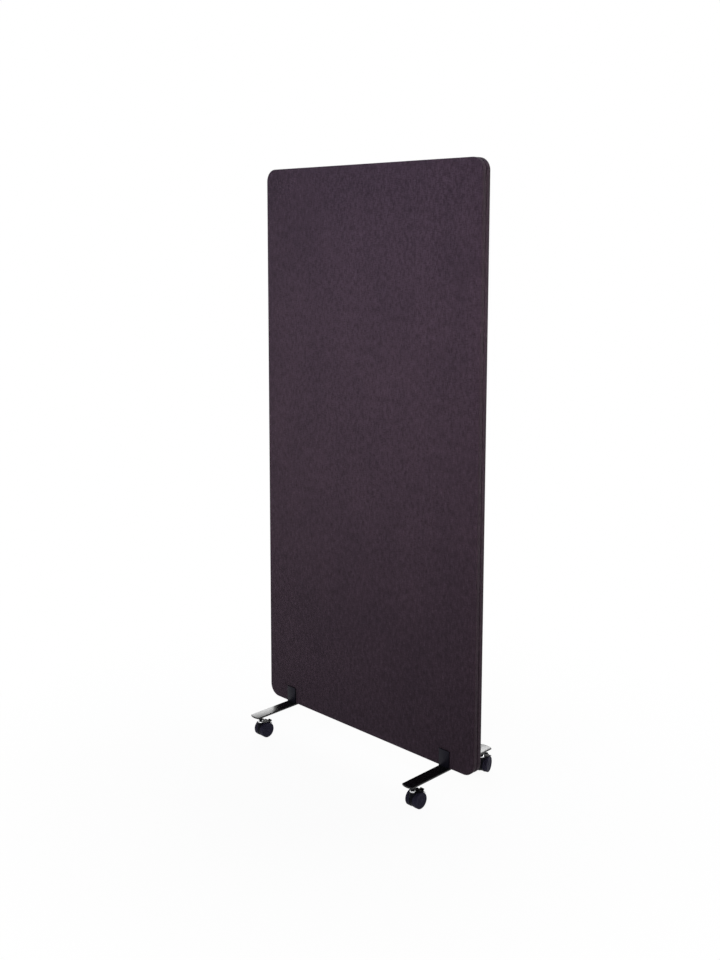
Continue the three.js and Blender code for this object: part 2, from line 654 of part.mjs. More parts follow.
function makeCaster(name, x, y, heading) {
  const caster = new THREE.Group();
  caster.position.set(x, y, 0);
  const turning = new THREE.Group();
  turning.rotation.z = heading;
  turning.add(
    mesh(`${name}_housing`, casterHousing(), hoodPlastic),
    mesh(`${name}_axle`, casterAxle(), zinc),
    mesh(`${name}_wheel_left`, casterWheel(-1), wheelPlastic),
    mesh(`${name}_wheel_right`, casterWheel(1), wheelPlastic),
    mesh(`${name}_brake_pedal`, brakePedal(), hoodPlastic),
    mesh(
      `${name}_pedal_pin`,
      rodAcross(PIN_RADIUS, PIN_HALF_LENGTH, PIVOT_Y, PIVOT_Z, 8),
      zinc,
    ),
  );
  caster.add(
    mesh(`${name}_stem`, casterStem(), blackSteel),
    mesh(`${name}_stem_collar`, stemCollar(), zinc),
    mesh(`${name}_lock_nut`, lockNut(), blackSteel),
    turning,
  );
  return caster;
}

// ---- Assembly -----------------------------------------------------------------------------------
// Casters as they stand in the photograph: name, side, end and heading of the trail in degrees.
const casterPlaces = [
  ['front_left', -1, -1, 0],
  ['front_right', 1, -1, 0],
  ['rear_left', -1, 1, -12],
  ['rear_right', 1, 1, 19],
];

const partition = new THREE.Group();
partition.add(makePanel(), makeFoot('left', -FOOT_X), makeFoot('right', FOOT_X));
for (const [name, side, end, heading] of casterPlaces) {
  partition.add(makeCaster(name, side * FOOT_X, end * STEM_Y, THREE.MathUtils.degToRad(heading)));
}

export default partition;
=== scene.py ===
import math

import bmesh
import bpy
from mathutils import Matrix, Vector, noise


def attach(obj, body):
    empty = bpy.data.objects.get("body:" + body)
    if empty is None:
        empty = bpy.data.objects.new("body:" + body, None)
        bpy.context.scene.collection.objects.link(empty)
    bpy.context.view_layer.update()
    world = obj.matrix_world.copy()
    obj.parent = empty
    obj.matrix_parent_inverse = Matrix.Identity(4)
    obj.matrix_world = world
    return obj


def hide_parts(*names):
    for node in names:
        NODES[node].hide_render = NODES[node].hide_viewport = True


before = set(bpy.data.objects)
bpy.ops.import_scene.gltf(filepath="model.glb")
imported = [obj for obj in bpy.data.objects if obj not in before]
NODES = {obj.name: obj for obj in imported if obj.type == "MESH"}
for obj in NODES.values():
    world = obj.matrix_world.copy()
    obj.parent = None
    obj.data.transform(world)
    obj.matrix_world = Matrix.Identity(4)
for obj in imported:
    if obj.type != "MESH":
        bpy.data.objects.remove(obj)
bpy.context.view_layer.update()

# ---- Sizes, in metres, as the solids have them ----------------------------------------------------
MM = 0.001
SEAT_GAP = 0.0003
PANEL_WIDTH = 0.900
PANEL_HEIGHT = 1.800
PANEL_BOTTOM = 0.079
PANEL_FACE = 0.018
CORNER_RADIUS = 0.038
HALF_THICKNESS = 0.016
FABRIC = 0.001
FRONT_EDGE_RADIUS = 0.003
BACK_EDGE_RADIUS = 0.0015
FABRIC_TURN_IN = 0.009
PANEL_MIDDLE = PANEL_BOTTOM + PANEL_HEIGHT / 2

FOOT_X = 0.340
BAR_TOP = PANEL_BOTTOM - SEAT_GAP
BAR_THICKNESS = 0.005
BAR_BOTTOM = BAR_TOP - BAR_THICKNESS
BAR_WIDTH = 0.040
BAR_LENGTH = 0.380
BAR_END_RISE = 0.005
TAB_HEIGHT = 0.055
TAB_THICKNESS = 0.0035
TAB_CORNER_RADIUS = 0.0025
TAB_OUTER_Y = -PANEL_FACE - SEAT_GAP - TAB_THICKNESS
WELD_LEG = 0.0025
WELD_LENGTH = 0.034
SCREW_SPREAD = 0.011
SCREW_Z = BAR_TOP + 0.034
SCREW_SEAT_Y = PANEL_FACE + SEAT_GAP + TAB_THICKNESS

STEM_Y = 0.161
TRAIL = 0.015
WHEEL_RADIUS = 0.025
WHEEL_SIDES = 24
AXLE_HEIGHT = WHEEL_RADIUS * math.cos(math.pi / WHEEL_SIDES)
PIVOT_Y, PIVOT_Z = 0.0329, 0.0462

# Name, side (x), end (y) and heading in degrees.
CASTERS = [
    ("front_left", -1, -1, 0),
    ("front_right", 1, -1, 0),
    ("rear_left", -1, 1, -12),
    ("rear_right", 1, 1, 19),
]

# ---- Camera ---------------------------------------------------------------------------------------
camera_data = bpy.data.cameras.new("camera")
camera = bpy.data.objects.new("camera", camera_data)
bpy.context.scene.collection.objects.link(camera)
camera.location = (2.4207, -2.5134, 1.6516)
camera.rotation_euler = (math.radians(82.60), 0, math.radians(45.26))
camera_data.sensor_width = 36
camera_data.lens = 42.51
camera_data.shift_x = 0.0187
camera_data.shift_y = -0.0970
camera_data.dof.use_dof = False
bpy.context.scene.camera = camera
bpy.context.scene.view_settings.view_transform = "Standard"


# ---- Node helpers ---------------------------------------------------------------------------------
class Shader:
    """A material round one Principled shader, with short names for the nodes that it needs."""

    def __init__(self, name):
        self.material = bpy.data.materials.new(name)
        self.material.use_nodes = True
        self.tree = self.material.node_tree
        self.tree.nodes.clear()
        self.output = self.add("ShaderNodeOutputMaterial")
        self.surface = self.add("ShaderNodeBsdfPrincipled")
        self.link(self.surface.outputs["BSDF"], self.output.inputs["Surface"])
        self.point = self.add("ShaderNodeTexCoord").outputs["Object"]

    def add(self, kind):
        return self.tree.nodes.new(kind)

    def link(self, source, target):
        self.tree.links.new(source, target)

    def set(self, socket, value):
        """A number or colour that is the same all over the surface."""
        self.surface.inputs[socket].default_value = value

    def colour(self, source):
        self.link(source, self.surface.inputs["Base Color"])

    def roughness(self, base, value, swing):
        varied = self.math("ADD", base, self.math("MULTIPLY", value, swing))
        self.link(varied, self.surface.inputs["Roughness"])

    def mapped(self, vector, scale, location=(0, 0, 0)):
        mapping = self.add("ShaderNodeMapping")
        mapping.inputs["Scale"].default_value = scale
        mapping.inputs["Location"].default_value = location
        self.link(vector, mapping.inputs["Vector"])
        return mapping.outputs["Vector"]

    def noise(self, vector, scale, detail, roughness=0.5, distortion=0.0, dimensions="3D"):
        node = self.add("ShaderNodeTexNoise")
        node.noise_dimensions = dimensions
        node.inputs["Scale"].default_value = scale
        node.inputs["Detail"].default_value = detail
        node.inputs["Roughness"].default_value = roughness
        node.inputs["Distortion"].default_value = distortion
        self.link(vector, node.inputs["Vector"])
        return node.outputs["Fac"]

    def ramp(self, value, stops):
        """Colours at rising positions of a value."""
        node = self.add("ShaderNodeValToRGB")
        elements = node.color_ramp.elements
        for element, (position, colour) in ((elements[0], stops[0]), (elements[1], stops[-1])):
            element.position = position
            element.color = (*colour, 1)
        for position, colour in stops[1:-1]:
            elements.new(position).color = (*colour, 1)
        self.link(value, node.inputs["Fac"])
        return node.outputs["Color"]

    def math(self, operation, first, second=0):
        node = self.add("ShaderNodeMath")
        node.operation = operation
        for index, value in enumerate((first, second)):
            if isinstance(value, (int, float)):
                node.inputs[index].default_value = value
            else:
                self.link(value, node.inputs[index])
        return node.outputs[0]

    def weighted(self, *parts):
        """Sum of (value, weight) pairs."""
        total = None
        for value, weight in parts:
            share = self.math("MULTIPLY", value, weight)
            total = share if total is None else self.math("ADD", total, share)
        return total

    def with_relief(self, height, strength, distance):
        """The finished material, with a fine relief."""
        node = self.add("ShaderNodeBump")
        node.inputs["Strength"].default_value = strength
        node.inputs["Distance"].default_value = distance
        self.link(height, node.inputs["Height"])
        self.link(node.outputs["Normal"], self.surface.inputs["Normal"])
        return self.material


def two_tone(colour, dark, light):
    """Stops of a ramp between two shades of one colour."""
    return [(0.3, tuple(c * dark for c in colour)), (0.7, tuple(c * light for c in colour))]


# ---- Materials ------------------------------------------------------------------------------------
YARN_PITCH = 0.0012


def fabric_material():
    """Plain-woven heather cloth: two crossing sets of yarns with streaks of plum and charcoal."""
    s = Shader("heather_fabric")
    point = s.add("ShaderNodeSeparateXYZ")
    s.link(s.point, point.inputs["Vector"])
    normal = s.add("ShaderNodeSeparateXYZ")
    s.link(s.add("ShaderNodeNewGeometry").outputs["True Normal"], normal.inputs["Vector"])
    x, y, z = (point.outputs[axis] for axis in "XYZ")
    # On the panel's narrow edges the cloth runs in depth, so there Y takes part in its own axes.
    along = s.math("ADD", x, s.math("MULTIPLY", y, s.math("ABSOLUTE", normal.outputs["X"])))
    up = s.math("ADD", z, s.math("MULTIPLY", y, s.math("ABSOLUTE", normal.outputs["Z"])))
    cloth = s.add("ShaderNodeCombineXYZ")
    s.link(along, cloth.inputs["X"])
    s.link(up, cloth.inputs["Y"])

    def spread(scale, seed, detail):
        """Noise over the cloth with its own scale across and up."""
        place = s.mapped(cloth.outputs["Vector"], (*scale, 1), (seed, seed * 1.7, 0))
        return s.noise(place, 1.0, detail, roughness=0.6, dimensions="2D")

    warp_streak = spread((420, 60), 3.1, 3)
    weft_streak = spread((70, 380), 9.4, 3)
    slub = spread((95, 40), 17.0, 2)
    cloud = spread((7, 5), 29.0, 3)
    fleck = spread((520, 480), 41.0, 1)

    turn = 2 * math.pi / YARN_PITCH
    warp = s.math("SINE", s.math("MULTIPLY", along, turn))
    weft = s.math("SINE", s.math("MULTIPLY", up, turn))
    over = s.math("SINE", s.math("MULTIPLY", along, turn / 2))
    under = s.math("SINE", s.math("MULTIPLY", up, turn / 2))
    weave = s.weighted((s.math("ADD", warp, weft), 0.25), (s.math("MULTIPLY", over, under), 0.5))

    streaks = ((warp_streak, 0.32), (weft_streak, 0.26), (slub, 0.2), (fleck, 0.22))
    tone = s.weighted(*streaks, (weave, 0.05))
    yarn = s.ramp(tone, [
        (0.34, (0.0136, 0.0072, 0.0108)),
        (0.46, (0.0240, 0.0133, 0.0196)),
        (0.54, (0.0352, 0.0206, 0.0298)),
        (0.68, (0.0590, 0.0375, 0.0525)),
    ])
    shade = s.add("ShaderNodeMix")
    shade.data_type = "RGBA"
    shade.blend_type = "MULTIPLY"
    shade.inputs["Factor"].default_value = 0.42
    s.link(yarn, shade.inputs["A"])
    s.link(s.ramp(cloud, [(0.3, (0.62, 0.62, 0.66)), (0.7, (1, 1, 1))]), shade.inputs["B"])
    s.colour(shade.outputs["Result"])
    s.roughness(0.78, fleck, 0.2)
    s.set("Specular IOR Level", 0.12)
    s.set("Sheen Weight", 0.04)
    s.set("Sheen Roughness", 0.5)
    return s.with_relief(s.weighted((weave, 0.6), (fleck, 0.5)), 0.55, 0.0004)


def powder_coat(name, colour, roughness, specular, peel, specular_tint=(1, 1, 1)):
    """Black polyester powder coat with fine orange peel."""
    s = Shader(name)
    fine = s.noise(s.point, 900, 2)
    broad = s.noise(s.point, 140, 2)
    s.colour(s.ramp(broad, two_tone(colour, 0.75, 1.3)))
    s.roughness(roughness - 0.05, broad, 0.1)
    s.set("Specular IOR Level", specular)
    s.set("Specular Tint", (*specular_tint, 1))
    return s.with_relief(s.weighted((broad, 0.7), (fine, 0.3)), peel, 0.0002)


def steel_material(name, colour, roughness, metallic, specular):
    """Turned or rolled steel with fine circular marks and a slightly uneven plating."""
    s = Shader(name)
    marks = s.noise(s.mapped(s.point, (60, 60, 3000)), 1.0, 2)
    patch = s.noise(s.point, 260, 3)
    s.colour(s.ramp(patch, two_tone(colour, 0.82, 1)))
    s.roughness(roughness, patch, 0.12)
    s.set("Metallic", metallic)
    s.set("Specular IOR Level", specular)
    return s.with_relief(marks, 0.15, 0.00005)


def plastic_material(name, colour, roughness, specular, grain):
    """Moulded nylon with a fine spark-eroded grain and faint flow marks."""
    s = Shader(name)
    fine = s.noise(s.point, grain, 2)
    flow = s.noise(s.mapped(s.point, (40, 90, 40)), 1.0, 3, roughness=0.6, distortion=0.4)
    s.colour(s.ramp(flow, two_tone(colour, 0.78, 1.2)))
    s.roughness(roughness - 0.06, flow, 0.12)
    s.set("Specular IOR Level", specular)
    return s.with_relief(fine, 0.12, 0.0001)


def fibre_material(name, scale, detail, dark, light, roughness, relief, distance):
    """Cut edge or face of a pressed board."""
    s = Shader(name)
    fibre = s.noise(s.mapped(s.point, scale), 1.0, detail)
    s.colour(s.ramp(fibre, [(0.3, dark), (0.7, light)]))
    s.set("Roughness", roughness)
    return s.with_relief(fibre, relief, distance)


FABRIC_LOOK = fabric_material()
BAR_LOOK = powder_coat(
    "bar_powder_coat", (0.0008, 0.0008, 0.0011), roughness=0.25, specular=0.35, peel=0.05,
)
# Black powder coat. Its lighter, bluish colour and blue-tinted gloss are a painted reflection on the
# plate's face.
TAB_LOOK = powder_coat(
    "tab_coat_with_painted_reflection", (0.0048, 0.0042, 0.0074), roughness=0.36, specular=0.13, peel=0.08,
    specular_tint=(0.80, 0.76, 1.0),
)
# Black coat of the weld beads and of the tab plates' narrow faces, darker and duller than the tabs'
# own coat: painted shade at each tab's foot and along its edges.
WELD_AND_EDGE_SHADE_LOOK = powder_coat(
    "weld_coat_and_painted_edge_shade", (0.0010, 0.0010, 0.0013), roughness=0.55, specular=0.02, peel=0.10,
)
ZINC_LOOK = steel_material(
    "bright_zinc", (0.88, 0.89, 0.90), roughness=0.34, metallic=1.0, specular=0.5,
)
BLACK_STEEL_LOOK = steel_material(
    "black_oxide_steel", (0.0055, 0.0055, 0.0075), roughness=0.45, metallic=0.0, specular=0.10,
)
HOOD_LOOK = plastic_material(
    "hood_nylon", (0.0036, 0.0033, 0.0058), roughness=0.45, specular=0.04, grain=1500,
)
PEDAL_LOOK = plastic_material(
    "pedal_nylon", (0.0012, 0.0010, 0.0018), roughness=0.6, specular=0.01, grain=1500,
)
WHEEL_LOOK = plastic_material(
    "wheel_nylon", (0.0215, 0.0192, 0.0335), roughness=0.5, specular=0.03, grain=1100,
)
BOARD_LOOK = fibre_material(
    "fibreboard", (900, 900, 900), 4, (0.27, 0.16, 0.08), (0.52, 0.36, 0.2),
    roughness=0.85, relief=0.3, distance=0.0003,
)
CORE_LOOK = fibre_material(
    "core_sheet", (400, 400, 60), 3, (0.052, 0.038, 0.047), (0.095, 0.070, 0.086),
    roughness=0.9, relief=0.2, distance=0.0002,
)


# ---- Mesh helpers ---------------------------------------------------------------------------------
def lathe(profile, sides, closed=False):
    """Profile of (radius, height) pairs turned about Z. A zero radius closes the end."""
    bm = bmesh.new()
    rings = []
    for radius, height in profile:
        if radius < 1e-9:
            rings.append([bm.verts.new((0, 0, height))])
            continue
        ring = []
        for k in range(sides):
            a = 2 * math.pi * k / sides
            ring.append(bm.verts.new((radius * math.cos(a), radius * math.sin(a), height)))
        rings.append(ring)
    pairs = list(zip(rings, rings[1:]))
    if closed:
        pairs.append((rings[-1], rings[0]))
    for low, high in pairs:
        for k in range(sides):
            n = (k + 1) % sides
            if len(low) == 1:
                bm.faces.new((low[0], high[n], high[k]))
            elif len(high) == 1:
                bm.faces.new((low[k], low[n], high[0]))
            else:
                bm.faces.new((low[k], low[n], high[n], high[k]))
    return bm


def cylinder(radius, low, high, sides):
    return lathe([(0, low), (radius, low), (radius, high), (0, high)], sides)


def prism(points, low, high, axis):
    """A closed outline made thick along X, Y or Z, from (y, z), (x, z) or (x, y) points."""
    def at(a, b, depth):
        return {"x": (depth, a, b), "y": (a, depth, b), "z": (a, b, depth)}[axis]

    bm = bmesh.new()
    near = [bm.verts.new(at(a, b, low)) for a, b in points]
    far = [bm.verts.new(at(a, b, high)) for a, b in points]
    bm.faces.new(near)
    bm.faces.new(far)
    count = len(points)
    for k in range(count):
        n = (k + 1) % count
        bm.faces.new((near[k], near[n], far[n], far[k]))
    return bm


def arc(cx, cy, radius, start, end, steps):
    """Points on a circle from one angle to another."""
    angles = [start + (end - start) * k / steps for k in range(steps + 1)]
    return [(cx + radius * math.cos(a), cy + radius * math.sin(a)) for a in angles]


def hexagon(radius):
    return [(radius * math.cos(k * math.pi / 3), radius * math.sin(k * math.pi / 3)) for k in range(6)]


def curve(p0, p1, p2, steps):
    """Quadratic curve, without its first point."""
    points = []
    for k in range(1, steps + 1):
        t = k / steps
        a, b, c = (1 - t) ** 2, 2 * t * (1 - t), t * t
        points.append((a * p0[0] + b * p1[0] + c * p2[0], a * p0[1] + b * p1[1] + c * p2[1]))
    return points


def smoothstep(low, high, value):
    t = min(max((value - low) / (high - low), 0), 1)
    return t * t * (3 - 2 * t)


def linked(name, data):
    made = bpy.data.objects.new(name, data)
    bpy.context.scene.collection.objects.link(made)
    return made


def loose(bm):
    """A mesh object with no body yet."""
    data = bpy.data.meshes.new("loose")
    bmesh.ops.recalc_face_normals(bm, faces=bm.faces)
    bm.to_mesh(data)
    bm.free()
    return linked("loose", data)


def mesh_of(made):
    """Takes the mesh of a loose object, which goes."""
    data = made.data
    bpy.data.objects.remove(made)
    return data


def apply_modifiers(made):
    depsgraph = bpy.context.evaluated_depsgraph_get()
    data = bpy.data.meshes.new_from_object(made.evaluated_get(depsgraph))
    made.modifiers.clear()
    made.data = data


def boolean(target, tool, operation):
    modifier = target.modifiers.new("cut", "BOOLEAN")
    modifier.operation = operation
    modifier.solver = "EXACT"
    modifier.object = tool
    apply_modifiers(target)
    bpy.data.objects.remove(tool)


def bevelled(made, width, segments, angle):
    """Rounds the edges that are sharper than an angle."""
    modifier = made.modifiers.new("bevel", "BEVEL")
    modifier.width = width
    modifier.segments = segments
    modifier.limit_method = "ANGLE"
    modifier.angle_limit = math.radians(angle)
    modifier.harden_normals = False
    apply_modifiers(made)


def dress(made, name, look, body, place, smooth_angle):
    """Turns a loose mesh object into a piece of the part that rides on a body."""
    made.name = name
    made.data.name = name
    made.data.materials.clear()
    made.data.materials.append(look)
    made.matrix_world = place
    for polygon in made.data.polygons:
        polygon.use_smooth = True
    made.data.set_sharp_from_angle(angle=math.radians(smooth_angle))
    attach(made, body)
    return made


# ---- Panel ----------------------------------------------------------------------------------------
HALF_WIDTH, HALF_HEIGHT = PANEL_WIDTH / 2, PANEL_HEIGHT / 2
CORNER_X, CORNER_Z = HALF_WIDTH - CORNER_RADIUS, HALF_HEIGHT - CORNER_RADIUS
CORNER_STEPS, STEPS_ACROSS, STEPS_UP = 10, 76, 150
CROWN, CROWN_REACH = 0.0007, 0.018
TAB_DENT_REACH = 0.016
STAPLE_HEM = 0.005
INNER_STEP = 0.003
GATHERS_PER_CORNER = 9
GATHER_DEPTH = 0.00038
EDGE_WAVE = 0.00018


def steps_along(half, corner, middle_steps):
    """Grid lines from -half to half, closer together where the corners are."""
    values = [corner * k / CORNER_STEPS - half for k in range(CORNER_STEPS)]
    start, end = corner - half, half - corner
    values += [start + (end - start) * k / middle_steps for k in range(middle_steps + 1)]
    values += [end + corner * k / CORNER_STEPS for k in range(1, CORNER_STEPS + 1)]
    return values


def round_corner(x, z, half_x, half_z, radius):
    """Moves a point of a rectangle's grid into the rounded rectangle."""
    cx, cz = half_x - radius, half_z - radius
    u, v = (abs(x) - cx) / radius, (abs(z) - cz) / radius
    if u <= 0 or v <= 0:
        return x, z
    return (
        math.copysign(cx + radius * u * math.sqrt(1 - v * v / 2), x),
        math.copysign(cz + radius * v * math.sqrt(1 - u * u / 2), z),
    )


def edge_normal(x, z):
    """Outward direction of the panel's outline at a point on it."""
    dx, dz = max(abs(x) - CORNER_X, 0), max(abs(z) - CORNER_Z, 0)
    if dx > 1e-6 and dz > 1e-6:
        length = math.hypot(dx, dz)
        return math.copysign(dx / length, x), math.copysign(dz / length, z)
    if dx > dz:
        return math.copysign(1, x), 0
    return 0, math.copysign(1, z)


def face_rise(x, z):
    """How far the padded face stands proud: slight crown, faint ripples and dents under the tabs."""
    edge = min(HALF_WIDTH - abs(x), HALF_HEIGHT - abs(z))
    crown = CROWN * (1 - math.exp(-max(edge - FRONT_EDGE_RADIUS, 0) / CROWN_REACH))
    ripple = 0.00022 * noise.noise(Vector((x * 5, z * 2.2, 3.7)))
    ripple += 0.00012 * noise.noise(Vector((x * 17, z * 9, 8.1)))
    ripple *= smoothstep(0.004, 0.05, edge)
    height = z + HALF_HEIGHT
    from_tab = max(abs(abs(x) - FOOT_X) - BAR_WIDTH / 2, height - TAB_HEIGHT, 0)
    return (crown + ripple) * smoothstep(0.0, TAB_DENT_REACH, from_tab)


def edge_profile():
    """(Inset, depth) steps of the cloth from the face to the inside, and how many of them show."""
    front, back = FRONT_EDGE_RADIUS, BACK_EDGE_RADIUS
    straight_end = HALF_THICKNESS - back
    profile = []
    for k in range(1, 6):
        a = k / 5 * math.pi / 2
        profile.append((front * (1 - math.sin(a)), front * (1 - math.cos(a))))
    for k in range(1, 5):
        profile.append((0, front + (straight_end - front) * k / 4))
    for k in range(1, 4):
        a = k / 3 * math.pi / 2
        profile.append((back * (1 - math.cos(a)), straight_end + back * math.sin(a)))
    shown = len(profile)
    profile += [(STAPLE_HEM, HALF_THICKNESS), (FABRIC_TURN_IN, HALF_THICKNESS)]
    profile += [(FABRIC_TURN_IN, HALF_THICKNESS - FABRIC), (FABRIC, HALF_THICKNESS - FABRIC)]
    profile += [(FABRIC, FABRIC + INNER_STEP), (INNER_STEP, FABRIC + INNER_STEP)]
    profile.append((INNER_STEP, FABRIC))
    return profile, shown


def edge_pull(x, z, ox, oz, depth, seed):
    """How far the cloth is drawn in at the edge: uneven tension, and gathers at the corners."""
    pull = 0.0
    if depth > FRONT_EDGE_RADIUS / 2:
        wave = noise.noise(Vector((x * 7, z * 7, seed + depth * 60)))
        pull += EDGE_WAVE * (wave + 0.4)
    if ox != 0 and oz != 0:
        angle = math.atan2(abs(z) - CORNER_Z, abs(x) - CORNER_X)
        gathers = 0.5 - 0.5 * math.cos(angle * 4 * GATHERS_PER_CORNER)
        pull += GATHER_DEPTH * gathers * smoothstep(0.006, 0.0155, depth) * math.sin(2 * angle)
    return max(pull, 0)


def fabric_cover(name, turn, seed):
    """One upholstered half: padded face, rounded edges and the fabric folded over behind its board."""
    half_x, half_z = HALF_WIDTH - FRONT_EDGE_RADIUS, HALF_HEIGHT - FRONT_EDGE_RADIUS
    corner = CORNER_RADIUS - FRONT_EDGE_RADIUS
    xs = steps_along(half_x, corner, STEPS_ACROSS)
    zs = steps_along(half_z, corner, STEPS_UP)
    bm = bmesh.new()
    grid = []
    for x in xs:
        column = []
        for z in zs:
            px, pz = round_corner(x, z, half_x, half_z, corner)
            column.append(bm.verts.new((px, -face_rise(px, pz), pz)))
        grid.append(column)
    nx, nz = len(xs), len(zs)
    for i in range(nx - 1):
        for j in range(nz - 1):
            bm.faces.new((grid[i][j], grid[i + 1][j], grid[i + 1][j + 1], grid[i][j + 1]))
    loop = [grid[i][0] for i in range(nx)]
    loop += [grid[nx - 1][j] for j in range(1, nz)]
    loop += [grid[i][nz - 1] for i in range(nx - 2, -1, -1)]
    loop += [grid[0][j] for j in range(nz - 2, 0, -1)]
    outline = []
    for vertex in loop:
        x, z = vertex.co.x, vertex.co.z
        ox, oz = edge_normal(x, z)
        outline.append((x + ox * FRONT_EDGE_RADIUS, z + oz * FRONT_EDGE_RADIUS, ox, oz))

    profile, shown = edge_profile()
    previous = loop
    for index, (inset, depth) in enumerate(profile):
        ring = []
        for x, z, ox, oz in outline:
            pull = edge_pull(x, z, ox, oz, depth, seed) if index < shown else 0
            step = inset + pull
            ring.append(bm.verts.new((x - ox * step, depth, z - oz * step)))
        for k in range(len(ring)):
            n = (k + 1) % len(ring)
            bm.faces.new((previous[k], previous[n], ring[n], ring[k]))
        previous = ring
    bm.faces.new(previous)
    upright = Matrix.Translation((0, 0, PANEL_MIDDLE)) @ Matrix.Rotation(turn, 4, "Z")
    place = upright @ Matrix.Translation((0, -PANEL_FACE, 0))
    for vertex in bm.verts:
        vertex.co = place @ vertex.co
    made = dress(loose(bm), name, FABRIC_LOOK, "frame", Matrix.Identity(4), 50)
    return made


front = fabric_cover("upholstery_front", 0, 1.3)
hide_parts("front_fabric_cover", "front_wadding")
rear = fabric_cover("upholstery_rear", math.pi, 6.2)
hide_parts("rear_fabric_cover", "rear_wadding")


# ---- Feet -----------------------------------------------------------------------------------------
STEM_HOLE_RADIUS = 0.0042
STEM_HOLE_DEPTH = 0.004
SCREW_HOLE_RADIUS = 0.0028
SCREW_SOCKET_RADIUS = 0.00175
WELD_STEPS = 120
WELD_RIPPLE = 0.0019
# Radius and height of the screw's shank and of its low round head, from the tip up.
SCREW_PROFILE = [
    (0, -0.013), (0.0015, -0.013), (0.0025, -0.012), (0.0025, 0),
    (0.0047, 0), (0.00475, 0.0004), (0.0046, 0.0011), (0.0041, 0.0018),
    (0.0033, 0.0024), (0.0024, 0.0027), (0, 0.0028),
]


def bar_outline(steps=28):
    """Flat bar from above (x, y), with arc-shaped ends."""
    half_width, half_length = BAR_WIDTH / 2, BAR_LENGTH / 2
    radius = (half_width ** 2 + BAR_END_RISE ** 2) / (2 * BAR_END_RISE)
    spread = math.asin(half_width / radius)
    centre = half_length - radius
    points = arc(0, -centre, radius, -math.pi / 2 - spread, -math.pi / 2 + spread, steps)
    points += arc(0, centre, radius, math.pi / 2 - spread, math.pi / 2 + spread, steps)
    return points


def foot_bar(name, side):
    bar = loose(prism(bar_outline(), BAR_BOTTOM, BAR_TOP, "z"))
    for y in (-STEM_Y, STEM_Y):
        tool = loose(cylinder(STEM_HOLE_RADIUS, -0.001, STEM_HOLE_DEPTH, 32))
        tool.matrix_world = Matrix.Translation((0, y, BAR_BOTTOM))
        boolean(bar, tool, "DIFFERENCE")
    bevelled(bar, 0.0007, 3, 50)
    dress(bar, name, BAR_LOOK, "frame", Matrix.Translation((side * FOOT_X, 0, 0)), 40)
    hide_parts(("left" if side < 0 else "right") + "_foot_bar")


def clamp_tab(name, side, back):
    """Upright plate and its weld. Its narrow faces take the weld's darker, duller coat, which is
    painted shade along the plate's edges.
    """
    half, top, r = BAR_WIDTH / 2, BAR_TOP + TAB_HEIGHT, TAB_CORNER_RADIUS
    points = [(-half, BAR_TOP), (half, BAR_TOP)]
    points += arc(half - r, top - r, r, 0, math.pi / 2, 8)
    points += arc(r - half, top - r, r, math.pi / 2, math.pi, 8)
    plate = loose(prism(points, TAB_OUTER_Y, TAB_OUTER_Y + TAB_THICKNESS, "y"))
    if back:
        for x in (-SCREW_SPREAD, SCREW_SPREAD):
            tool = loose(cylinder(SCREW_HOLE_RADIUS, -0.01, 0.01, 28))
            across = Matrix.Rotation(math.pi / 2, 4, "X")
            tool.matrix_world = Matrix.Translation((x, TAB_OUTER_Y, SCREW_Z)) @ across
            boolean(plate, tool, "DIFFERENCE")
    bevelled(plate, 0.0005, 3, 50)
    turn = Matrix.Rotation(math.pi if back else 0, 4, "Z")
    place = Matrix.Translation((side * FOOT_X, 0, 0)) @ turn
    foot = "left" if side < 0 else "right"
    dress(plate, name, TAB_LOOK, "frame", place, 40)
    # The narrow faces take the darker weld coat: painted shade along the plate's edges.
    plate.data.materials.append(WELD_AND_EDGE_SHADE_LOOK)
    for face in plate.data.polygons:
        face.material_index = 0 if abs(face.normal.y) > 0.9 else 1
    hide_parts(f"{foot}_{'rear' if back else 'front'}_tab")
    weld_bead(name + "_weld", side, back, place)


def weld_bead(name, side, back, place):
    """Rippled fillet along the foot of a plate, thinner at both ends."""
    bm = bmesh.new()
    rows = []
    for i in range(WELD_STEPS + 1):
        x = WELD_LENGTH * (i / WELD_STEPS - 0.5)
        end = smoothstep(0, 0.0022, WELD_LENGTH / 2 - abs(x))
        ripple = 0.12 * abs(math.sin(math.pi * x / WELD_RIPPLE))
        ripple += 0.04 * noise.noise(Vector((x * 300, side * 3 + back, 0)))
        leg = WELD_LEG * (0.35 + 0.65 * end) * (0.88 + ripple)
        row = []
        for k in range(7):
            a = k / 6 * math.pi / 2
            bow = 1 - 0.22 * math.sin(2 * a)
            y, z = TAB_OUTER_Y - leg * math.cos(a) * bow, BAR_TOP + leg * math.sin(a) * bow
            row.append(bm.verts.new((x, y, z)))
        row.append(bm.verts.new((x, TAB_OUTER_Y + 0.0004, BAR_TOP - 0.0002)))
        rows.append(row)
    for low, high in zip(rows, rows[1:]):
        for k in range(8):
            n = (k + 1) % 8
            bm.faces.new((low[k], high[k], high[n], low[n]))
    bm.faces.new(rows[0])
    bm.faces.new(rows[-1])
    # The bead's darker coat is painted shade at the foot of the tab.
    dress(loose(bm), name, WELD_AND_EDGE_SHADE_LOOK, "frame", place, 70)


def foot_screw(name, side, x, node):
    """Low round head with a hexagon socket."""
    screw = loose(lathe(SCREW_PROFILE, 48))
    boolean(screw, loose(prism(hexagon(SCREW_SOCKET_RADIUS), 0.0012, 0.004, "z")), "DIFFERENCE")
    seat = Matrix.Translation((side * FOOT_X + x, SCREW_SEAT_Y, SCREW_Z))
    place = seat @ Matrix.Rotation(-math.pi / 2, 4, "X")
    dress(screw, name, BLACK_STEEL_LOOK, "frame", place, 40)
    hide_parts(node)


